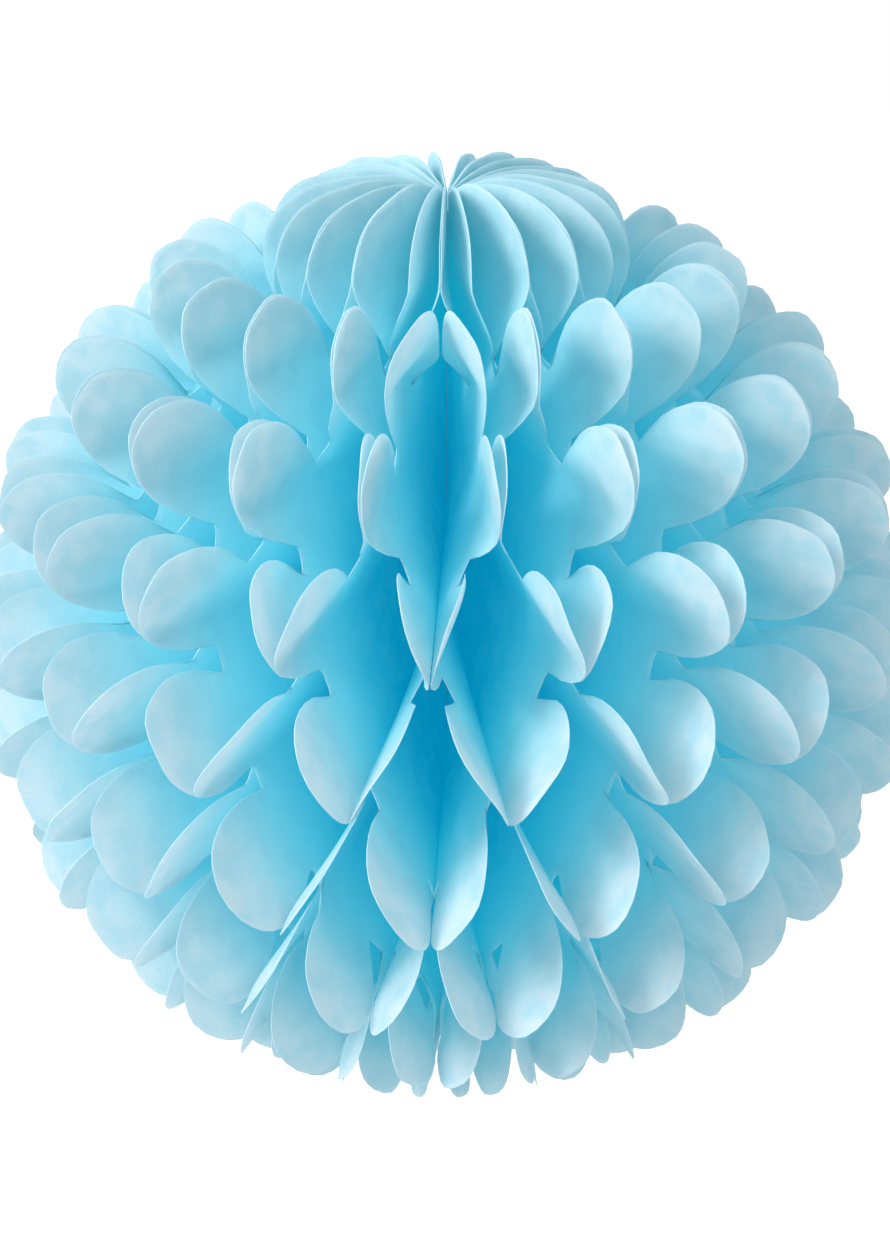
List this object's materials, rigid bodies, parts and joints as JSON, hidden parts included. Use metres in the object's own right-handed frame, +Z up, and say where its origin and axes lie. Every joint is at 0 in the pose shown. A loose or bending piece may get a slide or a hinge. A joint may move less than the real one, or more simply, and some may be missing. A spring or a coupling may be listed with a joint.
{
  "type": "scalloped paper honeycomb ball",
  "caption": "Hanging tissue-paper honeycomb ball, opened full, whose half-disc leaves have scalloped petal edges.",
  "frame": {"origin": "centre of the ball, on its upright spine", "axes": "+Z up along the spine, -Y towards the seam where the first and the last leaf meet, +X to the right"},
  "size_m": [0.2946, 0.2945, 0.296],
  "materials": {
    "tissue": "matt, translucent light blue tissue",
    "binding": "matt"
  },
  "bodies": {
    "root": {"leaf_01": "tissue", "leaf_02": "tissue", "leaf_03": "tissue", "leaf_04": "tissue", "leaf_05": "tissue", "leaf_06": "tissue", "leaf_07": "tissue", "leaf_08": "tissue", "leaf_09": "tissue", "leaf_10": "tissue", "leaf_11": "tissue", "leaf_12": "tissue", "leaf_13": "tissue", "leaf_14": "tissue", "leaf_15": "tissue", "leaf_16": "tissue", "leaf_17": "tissue", "leaf_18": "tissue", "leaf_19": "tissue", "leaf_20": "tissue", "leaf_21": "tissue", "leaf_22": "tissue", "leaf_23": "tissue", "leaf_24": "tissue", "leaf_25": "tissue", "leaf_26": "tissue", "leaf_27": "tissue", "leaf_28": "tissue", "leaf_29": "tissue", "leaf_30": "tissue", "leaf_31": "tissue", "leaf_32": "tissue", "leaf_33": "tissue", "leaf_34": "tissue", "leaf_35": "tissue", "leaf_36": "tissue", "leaf_37": "tissue", "leaf_38": "tissue", "leaf_39": "tissue", "leaf_40": "tissue", "spine_binding": "binding"}
  },
  "joints": []
}
